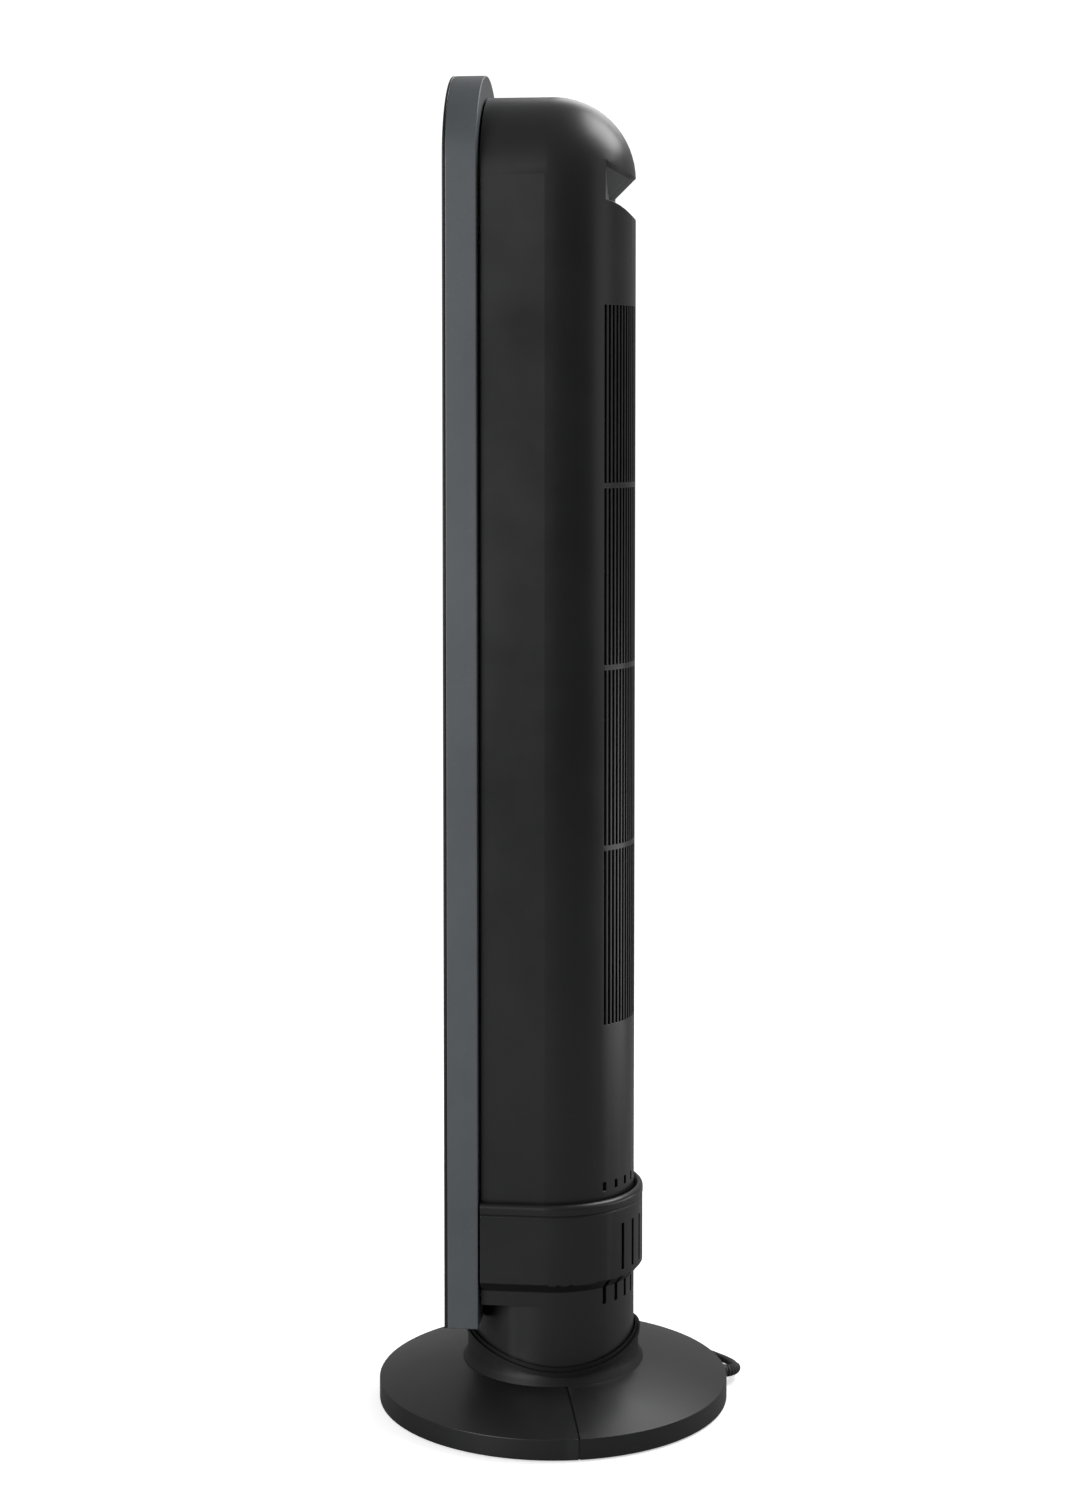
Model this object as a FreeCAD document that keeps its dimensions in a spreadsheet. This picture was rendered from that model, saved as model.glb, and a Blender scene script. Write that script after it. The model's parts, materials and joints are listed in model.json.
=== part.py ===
import FreeCAD, Part
import math
import os
import re
import Sketcher

# Tower fan. Millimetres, +Z up, the tower faces -Y. The origin is on the floor, on the swing axis.
# The base is stored turned by base_turn against the tower, as the fan stands part-way through its swing.

SIZES = [
    ("total_height", 1016, "floor to top of the front frame"),
    ("base_radius", 134.7, "outer radius of the base"),
    ("base_turn", 14.2, "angle of the base against the tower, degrees"),
    ("base_wall", 2.6, "shell thickness of the base"),
    ("rim_height", 17, "top of the base's upright rim"),
    ("dome_height", 31.4, "top of the dome, under the collar"),
    ("collar_radius", 69.8, "outer radius of the collar's foot"),
    ("collar_top", 44, "height of the collar's edge at its two low sides"),
    ("collar_rise", 13, "how much higher that edge is in front and behind"),
    ("neck_radius", 62.4, "outer radius of the turning neck"),
    ("neck_gap", 1.3, "gap between neck and collar"),
    ("neck_bottom", 33, "lower edge of the neck"),
    ("floor_height", 41, "underside of the neck's floor"),
    ("spigot_radius", 13, "pivot spigot of the base hub"),
    ("spigot_top", 58, "top of the pivot spigot"),
    ("running_gap", 0.06, "radial clearance of a running fit"),
    ("body_radius", 62.4, "outer radius and half-width of the housing"),
    ("body_wall", 2.5, "shell thickness of the housing"),
    ("body_bottom", 90, "lower edge of the lower housing's flat-sided front"),
    ("body_split", 165, "joint between lower and rear housing"),
    ("dome_centre", 937, "height of the housing's spherical top centre"),
    ("vent_pitch", 11.35, "angle between rear vent slots, degrees"),
    ("band_radius", 69.1, "outer radius of the vent band"),
    ("band_bottom", 101, "lower edge of the vent band"),
    ("band_top", 169.5, "upper edge of the vent band"),
    ("intake_bottom", 300, "lowest intake slot"),
    ("intake_top", 844, "highest intake slot"),
    ("intake_bar", 4, "horizontal bar between the tiers of slots"),
    ("frame_back", 49.7, "distance from axis to the frame's back face"),
    ("frame_front", 75.3, "distance from axis to the frame's front face"),
    ("frame_half", 68.5, "half-width of the front frame"),
    ("frame_bottom", 72.8, "lower edge of the front frame"),
    ("frame_wall", 3, "wall of the front frame"),
    ("frame_gap", 1.6, "shadow gap between the front frame and the housing"),
    ("fascia_depth", 2.2, "thickness of the front fascia"),
    ("grille_half", 53, "half-width of the outlet grille"),
    ("grille_bottom", 190, "lower edge of the outlet grille"),
    ("grille_top", 872, "upper edge of the outlet grille"),
    ("panel_height", 938, "centre height of the control panel"),
    ("panel_radius", 48, "radius of the control panel"),
    ("button_radius", 5.2, "radius of a push button"),
    ("button_gap", 0.35, "gap round a push button"),
    ("button_travel", 1.2, "travel of a push button"),
    ("recess_depth", 43.4, "distance from axis to the handle's inner wall"),
    ("seam_width", 1.5, "groove over the seam between the base halves"),
    ("seam_depth", 0.9, "depth of that groove"),
    ("recess_apex", 919.7, "height of the handle's inner edge"),
    ("recess_half", 46, "half-width of the handle recess"),
    ("belly_radius", 57, "radius of the handle's gripping surface"),
    ("cup_wall", 2.2, "thickness of the handle cup"),
    ("rotor_place", 6, "rotor axis behind the swing axis"),
    ("rotor_radius", 42.5, "radius of the cross-flow rotor"),
    ("rotor_bottom", 190, "underside of the lowest wheel segment"),
    ("segment_height", 113, "height of one wheel segment"),
    ("disc_thickness", 1.6, "disc of a wheel segment"),
    ("shaft_radius", 4, "radius of the rotor shaft"),
    ("pin_radius", 3, "radius of the upper rotor pin and of the pinion's shaft"),
    ("motor_radius", 36, "radius of the fan motor"),
    ("motor_bottom", 106, "underside of the fan motor"),
    ("motor_top", 156, "top of the fan motor"),
    ("bracket_height", 160, "underside of the motor bracket"),
    ("bridge_height", 886, "underside of the bearing bridge"),
    ("gear_module", 1.25, "module of the swing gears"),
    ("gear_teeth", 30, "teeth of the fixed swing gear"),
    ("pinion_teeth", 12, "teeth of the swing pinion"),
    ("gear_height", 50, "underside of the swing gears"),
    ("gear_thickness", 6, "face width of the swing gears"),
    ("swing_motor_radius", 25, "radius of the swing motor"),
    ("swing_motor_bottom", 61, "underside of the swing motor"),
    ("cord_diameter", 6, "power cord"),
    ("exit_height", 11, "height of the cord's exit"),
    ("coil_x", -198, "centre of the coiled cord"),
    ("coil_y", -27, "centre of the coiled cord"),
    ("coil_radius", 34, "mean radius of the coil"),
]

SEGMENTS = 6
BLADES = 26
INTAKE_TIERS = 4
INTAKE_SIDE = 12
BUTTON_SPOTS = {
    "power_button": (0, -28),
    "speed_button": (-22, -18),
    "timer_button": (22, -18),
    "swing_button": (0, -8),
}

doc = FreeCAD.newDocument("TowerFan")
sheet = doc.addObject("Spreadsheet::Sheet", "Sizes")
for row, (alias, amount, note) in enumerate(SIZES, 1):
    sheet.set(f"A{row}", alias)
    sheet.set(f"B{row}", str(amount))
    sheet.set(f"C{row}", note)
    sheet.setAlias(f"B{row}", alias)
doc.recompute()

ALIASES = sorted((alias for alias, _, _ in SIZES), key=len, reverse=True)
nodes = []


# ---- helpers: formulas, primitives, booleans ----

def formula(text):
    return re.sub(r"\b(" + "|".join(ALIASES) + r")\b", r"Sizes.\1", str(text))


def number(text):
    return float(sheet.evalExpression(formula(text)))


def bind(item, **formulas):
    for name, text in formulas.items():
        item.setExpression(name, formula(text))
    return item


def place(item, x=0, y=0, z=0, axis=(0, 0, 1), angle=0):
    turn = FreeCAD.Rotation(FreeCAD.Vector(*axis), angle)
    item.Placement = FreeCAD.Placement(FreeCAD.Vector(number(x), number(y), number(z)), turn)
    for letter, text in zip("xyz", (x, y, z)):
        item.setExpression(f"Placement.Base.{letter}", formula(text))
    return item


def node(item, name, turn=0):
    item.Label = name
    if turn:
        spin = FreeCAD.Rotation(FreeCAD.Vector(0, 0, 1), turn)
        item.Placement = FreeCAD.Placement(FreeCAD.Vector(), spin).multiply(item.Placement)
    nodes.append(item)
    return item


def cylinder(radius, height, z=0, x=0, y=0, axis=(0, 0, 1), tilt=0, sweep=360):
    item = bind(doc.addObject("Part::Cylinder", "Cylinder"), Radius=radius, Height=height, Angle=sweep)
    return place(item, x, y, z, axis, tilt)


def cone(bottom, top, height, z=0, x=0, y=0, axis=(0, 0, 1), tilt=0):
    item = bind(doc.addObject("Part::Cone", "Cone"), Radius1=bottom, Radius2=top, Height=height)
    return place(item, x, y, z, axis, tilt)


def box(width, depth, height, x=0, y=0, z=0):
    """A box centred on x; y and z are its lowest values."""
    item = bind(doc.addObject("Part::Box", "Box"), Length=width, Width=depth, Height=height)
    return place(item, f"({x}) - ({width}) / 2", y, z)


def fuse(items):
    item = doc.addObject("Part::MultiFuse", "Fuse")
    item.Shapes = items
    return item


def group(items):
    item = doc.addObject("Part::Compound", "Group")
    item.Links = items
    return item


def cut(base, tool):
    item = doc.addObject("Part::Cut", "Cut")
    item.Base = base
    item.Tool = tool
    return item


def common(items):
    item = doc.addObject("Part::MultiCommon", "Common")
    item.Shapes = items
    return item


def solid(shape):
    item = doc.addObject("Part::Feature", "Solid")
    item.Shape = shape
    return item


# ---- helpers: sketched bodies ----

def sketch_on(holder, role, lift=0):
    drawn = holder.newObject("Sketcher::SketchObject", "Sketch")
    plane = next(feature for feature in holder.Origin.OriginFeatures if feature.Role == role)
    drawn.AttachmentSupport = [(plane, "")]
    drawn.MapMode = "FlatFace"
    drawn.setExpression("AttachmentOffset.Base.z", formula(lift))
    return drawn


def fix(drawn, kind, text, *where):
    index = drawn.addConstraint(Sketcher.Constraint(kind, *where, number(text)))
    if formula(text) != str(text):
        drawn.renameConstraint(index, f"size{index}")
        drawn.setExpression(f"Constraints.size{index}", formula(text))


def bulge_point(start, end, radius):
    """The middle of an arc from start to end; a positive radius bulges to the right of the way."""
    chord = end - start
    half = chord.Length / 2
    rise = abs(radius) - math.sqrt(radius * radius - half * half)
    side = FreeCAD.Vector(chord.y, -chord.x, 0).normalize()
    return (start + end) * 0.5 + side * math.copysign(rise, radius)


def outline(drawn, corners):
    """A closed outline of (x, y) corners, or (x, y, radius) where the edge that arrives is an arc."""
    spots = [FreeCAD.Vector(number(corner[0]), number(corner[1]), 0) for corner in corners]
    for index, corner in enumerate(corners):
        start = spots[index - 1]
        end = spots[index]
        ends = [(corners[index - 1], start), (corner, end)]
        if len(corner) > 2:
            radius = number(corner[2])
            middle = bulge_point(start, end, radius)
            if radius < 0:
                ends.reverse()
            edge = drawn.addGeometry(Part.Arc(ends[0][1], middle, ends[1][1]))
        else:
            edge = drawn.addGeometry(Part.LineSegment(start, end))
        for which, (spot, _) in enumerate(ends, 1):
            fix(drawn, "DistanceX", spot[0], -1, 1, edge, which)
            fix(drawn, "DistanceY", spot[1], -1, 1, edge, which)
        if len(corner) > 2:
            fix(drawn, "Radius", f"abs({corner[2]})", edge)


def circle(drawn, radius, x=0, y=0):
    spot = FreeCAD.Vector(number(x), number(y), 0)
    edge = drawn.addGeometry(Part.Circle(spot, FreeCAD.Vector(0, 0, 1), number(radius)))
    fix(drawn, "Radius", radius, edge)
    fix(drawn, "DistanceX", x, -1, 1, edge, 3)
    fix(drawn, "DistanceY", y, -1, 1, edge, 3)


def body():
    return doc.addObject("PartDesign::Body", "Body")


def turned(corners, sweep=360):
    """A body of revolution about Z from an outline of (radius, height) corners."""
    holder = body()
    drawn = sketch_on(holder, "YZ_Plane")
    outline(drawn, corners)
    made = holder.newObject("PartDesign::Revolution", "Turned")
    made.Profile = drawn
    made.ReferenceAxis = (drawn, ["V_Axis"])
    made.Angle = sweep
    made.Midplane = sweep < 360
    return holder


def stepped(bore, steps):
    """A turned piece with a bore and steps of (radius, from height, to height), from the bottom up."""
    corners = [(bore, steps[0][1])]
    for radius, low, high in steps:
        corners += [(radius, low), (radius, high)]
    return turned(corners + [(bore, steps[-1][2])])


def spun(corners, sweep):
    """The same without a body, for long flat arcs; it spreads evenly to both sides of +Y."""
    drawn = doc.addObject("Sketcher::SketchObject", "Outline")
    drawn.Placement = FreeCAD.Placement(FreeCAD.Vector(), FreeCAD.Rotation(FreeCAD.Vector(1, 1, 1), 120))
    outline(drawn, corners)
    made = doc.addObject("Part::Revolution", "Spun")
    made.Source = drawn
    made.Axis = FreeCAD.Vector(0, 0, 1)
    made.Angle = sweep
    made.Symmetric = True
    made.Solid = True
    return made


def padded(drawn, length):
    made = drawn.getParentGeoFeatureGroup().newObject("PartDesign::Pad", "Pad")
    made.Profile = drawn
    return bind(made, Length=length)


def polar(feature, count):
    holder = feature.getParentGeoFeatureGroup()
    made = holder.newObject("PartDesign::PolarPattern", "Pattern")
    made.Originals = [feature]
    axis = next(item for item in holder.Origin.OriginFeatures if item.Role == "Z_Axis")
    made.Axis = (axis, [""])
    made.Angle = 360
    made.Occurrences = count
    holder.Tip = made
    return made


def round_spots(count, radius, first=0.0):
    step = 2 * math.pi / count
    start = math.radians(first)
    return [(radius * math.cos(start + step * k), radius * math.sin(start + step * k)) for k in range(count)]


# ---- helpers: shapes of the tower ----

def tower_volume(radius, bottom, top, front):
    """The housing's outline: half round behind, flat-sided in front, with a domed and arched top."""
    height = f"{top} - ({bottom})"
    rear = cylinder(radius, height, z=bottom, sweep=180)
    pieces = [rear, box(f"2 * ({radius})", front, height, y=f"-({front})", z=bottom)]
    if top == "dome_centre":
        ball = bind(doc.addObject("Part::Sphere", "Ball"), Radius=radius, Angle1=0, Angle2=90, Angle3=180)
        pieces.append(place(ball, z=top))
        pieces.append(cylinder(radius, front, z=top, axis=(1, 0, 0), tilt=90, sweep=180))
    return fuse(pieces)


def frame_prism(offset, front, back):
    """The front frame's outline, set in by offset, between two distances in front of the axis."""
    centre = "total_height - frame_half"
    radius = f"frame_half - ({offset})"
    bottom = f"frame_bottom + ({offset})"
    depth = f"{front} - ({back})"
    arch = cylinder(radius, depth, z=centre, y=f"-({back})", axis=(1, 0, 0), tilt=90, sweep=180)
    plate = box(f"2 * ({radius})", depth, f"{centre} - ({bottom})", y=f"-({front})", z=bottom)
    return fuse([arch, plate])


def rear_slots(angles, width, bottom, height):
    """Upright slots through the rear wall, at angles from straight behind."""
    made = []
    for angle in angles:
        item = bind(doc.addObject("Part::Box", "Slot"), Length=30, Width=width, Height=height)
        turn = math.radians(90 - angle)
        across = number(width) / 2
        x = 45 * math.cos(turn) + across * math.sin(turn)
        y = 45 * math.sin(turn) - across * math.cos(turn)
        made.append(place(item, x, y, bottom, angle=90 - angle))
    return made


def spread(side, pitch):
    return [k * number(pitch) for k in range(-side, side + 1)]


def screw(x, y, z, head=3.4, shank=1.6, length=12, up=True):
    """A pan-head screw whose head rests on z, with its shank below or above."""
    low = z if up else z - 2
    stem = z - length if up else z
    return fuse([cylinder(head, 2, z=low, x=x, y=y), cylinder(shank, length, z=stem, x=x, y=y)])


# ---- base ----

BOSS_SPOTS = round_spots(4, 84, 45)
FOOT_SPOTS = round_spots(8, 117, 22.5)


def seam_groove():
    """A shallow groove that each half has one side of, over the whole seam."""
    depth = "seam_depth"
    inside = turned(
        [
            (0, 0),
            (f"base_radius - {depth}", 0),
            (f"base_radius - {depth}", f"rim_height - 0.6 - {depth}"),
            ("collar_radius + 1", f"dome_height - {depth}", 340),
            (0, f"dome_height - {depth}"),
        ]
    )
    return cut(box(290, "seam_width", 50, y="-seam_width / 2"), inside)


def base_half(name, turn, with_exit):
    shell = spun(
        [
            ("base_radius", 1.5),
            ("base_radius", "rim_height - 0.6"),
            ("base_radius - 0.6", "rim_height", 0.7),
            ("collar_radius + 1", "dome_height", 340),
            ("collar_radius - 4.5", "dome_height"),
            ("collar_radius - 4.5", "dome_height - base_wall"),
            ("collar_radius + 1", "dome_height - base_wall"),
            ("base_radius - base_wall", "rim_height - base_wall", -340),
            ("base_radius - base_wall", 1.5),
        ],
        180,
    )
    bosses = [cylinder(5, 18.5, z=9, x=x, y=y) for x, y in BOSS_SPOTS[:2]]
    feet = [cylinder(9, 18, z=1.5, x=x, y=y) for x, y in FOOT_SPOTS[:4]]
    shell = cut(fuse([shell] + bosses + feet), seam_groove())
    if not with_exit:
        return node(shell, name, turn)
    hole = cylinder(5.1, 20, z="exit_height", y="base_radius + 8", axis=(1, 0, 0), tilt=90)
    return node(cut(shell, hole), name, turn)


SADDLE = "(neck_radius * neck_radius + collar_rise * collar_rise) / (2 * collar_rise)"


def saddle(lowest):
    """The round hollow above a saddle-shaped edge, which is lowest at the seam between the base halves."""
    return cylinder(SADDLE, 200, z=f"{lowest} + {SADDLE}", x=-100, axis=(0, 1, 0), tilt=90)


def base_collar():
    """The fixed ring round the neck: a sloping foot, an outer rib, a groove and a higher inner rib."""
    bore = "neck_radius + neck_gap"
    high = "collar_top + collar_rise + 6"
    ring = turned(
        [
            (bore, 26),
            ("collar_radius - 4.6", 26),
            ("collar_radius - 4.6", "dome_height"),
            ("collar_radius", "dome_height"),
            (f"{bore} + 2.4", "collar_top - 6.2"),
            (f"{bore} + 2.4", high),
            (bore, high),
        ]
    )
    inner_rib = cylinder(f"{bore} + 1.1", 100)
    above_outer_rib = cut(saddle("collar_top - 3"), inner_rib)
    groove = cut(common([saddle("collar_top - 4.2"), cylinder(f"{bore} + 1.8", 100)]), inner_rib)
    band = cut(cylinder(f"{bore} + 3.6", 60, z=20), cylinder(f"{bore} + 2", 100))
    outer_rib = cut(common([band, saddle("collar_top - 6.2")]), saddle("collar_top - 3"))
    walls = cut(ring, fuse([saddle("collar_top"), above_outer_rib, groove]))
    return fuse([walls, outer_rib])


def base_hub(turn):
    """The inner floor that both base halves are screwed to, with the swivel's track and spigot."""
    plate = turned(
        [
            ("spigot_radius - 3.5", 6),
            (90, 6),
            (90, 9),
            (58, 9),
            (58, 26),
            (51, 26),
            (51, 37),
            (42, 37),
            (42, 23),
            (39, 9),
            ("spigot_radius + 4", 9),
            ("spigot_radius + 4", 38),
            ("spigot_radius", 38),
            ("spigot_radius", "spigot_top"),
            ("spigot_radius - 3.5", "spigot_top"),
        ]
    )
    holes = [cylinder(1.6, 6, z=5, x=x, y=y) for x, y in BOSS_SPOTS]
    return node(cut(plate, group(holes)), "base_hub", turn)


def swivel_ring():
    """The sliding ring that carries the tower on the hub's track."""
    node(cut(cylinder(50, 3.7, z=37), cylinder(43, 8, z=35)), "swivel_ring")


def gear(teeth, bore, shift):
    """A spur gear with straight-flanked teeth; shift turns it by that many tooth pitches."""
    pitch = number("gear_module") * teeth / 2
    root = pitch - 1.25 * number("gear_module")
    tip = pitch + 0.85 * number("gear_module")
    step = 2 * math.pi / teeth
    holder = body()
    blank = sketch_on(holder, "XY_Plane", "gear_height")
    circle(blank, root)
    if bore:
        circle(blank, bore)
    padded(blank, "gear_thickness")
    tooth = sketch_on(holder, "XY_Plane", "gear_height")
    flank = [(root - 0.4, 0.30), (pitch, 0.205), (tip, 0.10)]
    corners = []
    for radius, side in [(radius, -side) for radius, side in flank] + flank[::-1]:
        angle = (side + shift) * step
        corners.append((radius * math.cos(angle), radius * math.sin(angle)))
    outline(tooth, corners)
    polar(padded(tooth, "gear_thickness"), teeth)
    return holder


def rubber_feet(turn):
    return node(group([cylinder(8, 1.5, z=0, x=x, y=y) for x, y in FOOT_SPOTS]), "rubber_feet", turn)


def base_screws(turn):
    screws = [screw(x, y, 6, length=3, up=False) for x, y in BOSS_SPOTS]
    return node(group(screws), "base_screws", turn)


# ---- cord, in its own frame at the base's rear and then along the floor ----

def cord_exit():
    """The cord boot's path: it leaves the rim radially and bends round towards the base's far side."""
    turn = math.radians(90 + number("base_turn"))
    out = FreeCAD.Vector(math.cos(turn), math.sin(turn), 0)
    along = FreeCAD.Vector(-math.sin(turn), math.cos(turn), 0)
    start = out * (number("base_radius") - 1) + FreeCAD.Vector(0, 0, number("exit_height"))

    def spot(angle, radius=14.0):
        swing = math.radians(angle)
        drop = FreeCAD.Vector(0, 0, -2.4 * angle / 84)
        return start + out * (radius * math.sin(swing)) + along * (radius * (1 - math.cos(swing))) + drop

    return out, start, spot


def strain_relief():
    """A tapered boot, with a plain neck through the rim."""
    out, start, spot = cord_exit()
    path = Part.Wire([Part.Arc(spot(0), spot(42), spot(84)).toShape()])
    tip = path.Edges[0]
    heading = tip.tangentAt(tip.LastParameter)
    first = Part.Wire([Part.makeCircle(4.9, spot(0), out)])
    last = Part.Wire([Part.makeCircle(3.7, spot(84), heading)])
    boot = Part.BRepOffsetAPI.MakePipeShell(path)
    boot.add(first)
    boot.add(last)
    boot.build()
    boot.makeSolid()
    neck = Part.makeCylinder(4.9, 7, start - out * 7, out)
    return node(solid(boot.shape().fuse(neck).removeSplitter()), "strain_relief")


def tube(points, radius):
    """A round tube on straight runs joined by tangent arcs, each as large as its two runs allow."""
    edges = []
    here = points[0]
    radii = []
    for before, corner, after in zip(points, points[1:], points[2:]):
        arriving = (corner - before).normalize()
        leaving = (after - corner).normalize()
        turn = arriving.getAngle(leaving)
        reach = 0.45 * min((corner - before).Length, (after - corner).Length)
        radii.append(reach / math.tan(turn / 2))
        start = corner - arriving * reach
        end = corner + leaving * reach
        inward = (leaving - arriving).normalize()
        middle = corner + inward * (radii[-1] / math.cos(turn / 2) - radii[-1])
        edges.append(Part.LineSegment(here, start).toShape())
        edges.append(Part.Arc(start, middle, end).toShape())
        here = end
    edges.append(Part.LineSegment(here, points[-1]).toShape())
    path = Part.Wire(edges)
    first = (points[1] - points[0]).normalize()
    section = Part.Wire([Part.makeCircle(radius, points[0], first)])
    swept = path.makePipeShell([section], True, False)
    expected = math.pi * radius * radius * path.Length
    print("cord radii", [round(value, 1) for value in radii])
    print("volume against section times length", round(swept.Volume / expected, 4))
    return swept, path.Length


def power_cord():
    """From the boot's tip, down to the floor and close round the base's far side to the coil."""
    tip = cord_exit()[2](84)
    route = [
        (-66.5, 137.8, 5),
        (-87.6, 120.5, 3.2),
        (-111.8, 93.8, 3),
        (-134.3, 59.8, 3.1),
        (-149.7, 26.4, 3),
        (-159.4, -12, 3.1),
        (-161, -27, 3),
    ]
    points = [tip] + [FreeCAD.Vector(*spot) for spot in route]
    made, length = tube(points, number("cord_diameter / 2"))
    print("power_cord length", round(length, 1))
    return node(solid(made), "power_cord")


def cord_coil():
    inner = "coil_radius - 9.2"
    outer = "coil_radius + 9.2"
    ring = turned(
        [
            (f"{inner} + 2", 0, 2),
            (f"{outer} - 2", 0),
            (outer, 2, 2),
            (outer, 6),
            ("coil_radius + 3.4", 16.6, 14),
            ("coil_radius - 3.4", 16.6),
            (inner, 6, 14),
            (inner, 2),
        ]
    )
    return node(place(ring, "coil_x", "coil_y", 0), "cord_coil")


PLUG_START = -243
PLUG_LINE = -64.6


def cord_tail():
    """From the top of the coil down to the plug, which lies beside it."""
    route = [(-200, -64, 13.4), (-215, -64.3, 12.6), (-230, -63.8, 9.2), (-243, -64.6, 8)]
    points = [FreeCAD.Vector(*spot) for spot in route]
    made, length = tube(points, number("cord_diameter / 2"))
    print("cord_tail length", round(length, 1))
    return node(solid(made), "cord_tail")


def cord_tie():
    """A strap over the coil's bundle."""
    strap = box(22, 9, 18.4, y=-4.5, z=0)
    inside = box(19.6, 11, 17.2, y=-5.5, z=-0.3)
    tie = cut(strap, inside)
    return node(place(tie, "coil_x", "coil_y + coil_radius", 0, angle=90), "cord_tie")


def plug():
    """A two-blade plug lying beside the coil, with its blades pointing along -X."""
    sleeve = cone(4, 7, 8.2, x=PLUG_START, y=PLUG_LINE, z=8, axis=(0, 1, 0), tilt=-90)
    grip = box(24, 22, 16, x=PLUG_START - 20, y=PLUG_LINE - 11, z=0)
    node(fuse([grip, sleeve]), "plug_body")
    blades = [box(16, 1.6, 6.4, x=PLUG_START - 40, y=PLUG_LINE - 0.8 + side, z=4.8) for side in (-6.35, 6.35)]
    node(group(blades), "plug_blades")


# ---- turning neck and lower housing ----

HOUSING_FRONT = "frame_back - frame_gap"


def neck():
    """The round foot of the lower housing, with a floor that turns on the hub's spigot."""
    return turned(
        [
            ("neck_radius - body_wall", "neck_bottom"),
            ("neck_radius", "neck_bottom"),
            ("neck_radius", "body_bottom"),
            ("neck_radius - body_wall", "body_bottom"),
            ("neck_radius - body_wall", "floor_height + 3"),
            ("spigot_radius + running_gap", "floor_height + 3"),
            ("spigot_radius + running_gap", "floor_height"),
            ("neck_radius - body_wall", "floor_height"),
        ]
    )


def low_slots():
    return rear_slots(spread(4, "vent_pitch"), 3.4, 88, 19.5)


def lower_housing():
    outer = tower_volume("body_radius", "body_bottom", "body_split", HOUSING_FRONT)
    inner = tower_volume("body_radius - body_wall", "body_bottom + 3", "body_split + 5", "frame_back + 5")
    wires = cylinder(24, 10, z="body_bottom - 3")
    return node(cut(fuse([cut(outer, inner), neck()]), group(low_slots() + [wires])), "lower_housing")


def band_section():
    """The band's wall, with a chamfer below, a groove under the bead and a rounded bead on top."""
    return [
        ("body_radius", "band_bottom"),
        ("band_radius", "band_bottom + 8"),
        ("band_radius", 160),
        ("band_radius - 0.8", 160.7),
        ("band_radius + 0.3", 161.6),
        ("band_radius + 0.3", "band_top - 4"),
        ("band_radius - 3.4", "band_top", 3.85),
        ("body_radius + 1.2", "band_top - 2"),
        ("body_radius", "body_split"),
    ]


def vent_band():
    rear = turned(band_section(), sweep=180)
    sides = []
    for mirror in (1, -1):
        holder = body()
        drawn = sketch_on(holder, "XZ_Plane")
        corners = []
        for across, up, *arc in band_section():
            corners.append((f"{mirror} * ({across})", up, *[mirror * radius for radius in arc]))
        outline(drawn, corners)
        padded(drawn, HOUSING_FRONT)
        sides.append(holder)
    slots = rear_slots(spread(3, "vent_pitch"), 3.2, 113, 36)
    return node(cut(fuse([rear] + sides), group(slots + low_slots())), "vent_band")


# ---- rear housing with the handle recess ----

def recess_volume(grow):
    """The hollow of the handle: a pocket under an inclined round belly, grown by a wall thickness."""
    wall = number("recess_depth") - grow
    apex = number("recess_apex")
    half = number("recess_half") + grow
    points = [
        FreeCAD.Vector(-half, wall, apex - grow * 1.2),
        FreeCAD.Vector(-half, 55, 914.6 - grow),
        FreeCAD.Vector(-half, 62.6, 906.5 - grow * 0.6),
    ]
    ramp = Part.Arc(*points).toShape()
    outside = [(80, 896 - grow), (80, 985), (wall, 985)]
    corners = [points[2]] + [FreeCAD.Vector(-half, y, z) for y, z in outside] + [points[0]]
    sides = [Part.LineSegment(start, end).toShape() for start, end in zip(corners, corners[1:])]
    prism = Part.Face(Part.Wire([ramp] + sides)).extrude(FreeCAD.Vector(2 * half, 0, 0))
    slope = FreeCAD.Vector(0, 18.9, 18.6).normalize()
    upward = FreeCAD.Vector(0, -slope.z, slope.y)
    radius = number("belly_radius")
    centre = FreeCAD.Vector(0, number("recess_depth"), apex) + upward * radius
    belly = Part.makeCylinder(radius - grow, 260, centre - slope * 130, slope)
    return prism.cut(belly)


def intake_slots():
    bar = number("intake_bar")
    tier = (number("intake_top") - number("intake_bottom")) / INTAKE_TIERS
    made = []
    for level in range(INTAKE_TIERS):
        low = number("intake_bottom") + level * tier + bar / 2
        made += rear_slots(spread(INTAKE_SIDE, "vent_pitch / 3"), 2.3, low, tier - bar)
    return made


def rear_housing():
    outer = tower_volume("body_radius", "body_split", "dome_centre", HOUSING_FRONT)
    inner = tower_volume("body_radius - body_wall", "body_split - 5", "dome_centre", "frame_back + 5")
    holes = rear_slots(spread(4, "vent_pitch"), 3.4, 175, 6.5)
    recess = solid(recess_volume(0))
    return node(cut(cut(outer, inner), group(intake_slots() + holes + [recess])), "rear_housing")


def handle_cup():
    inside = tower_volume("body_radius - body_wall", 880, "dome_centre", "frame_back")
    grown = solid(recess_volume(number("cup_wall")))
    cup = common([inside, grown])
    return node(cut(cup, solid(recess_volume(0))), "handle_cup")


# ---- front frame, grille and controls ----

def front_frame():
    """The deep surround behind the fascia, open in front, with a flange that the housing closes."""
    front = "frame_front - fascia_depth"
    hollow = frame_prism("frame_wall", "frame_front + 1", "frame_back + frame_wall")
    shell = cut(frame_prism(0, front, "frame_back"), hollow)
    rear_hole = tower_volume("body_radius - body_wall", "body_bottom + 3", "dome_centre", "frame_back + 3.5")
    neck_room = cylinder("neck_radius + 0.8", "body_bottom - frame_bottom + 1", z="frame_bottom - 1")
    return node(cut(shell, group([rear_hole, neck_room])), "front_frame")


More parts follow.
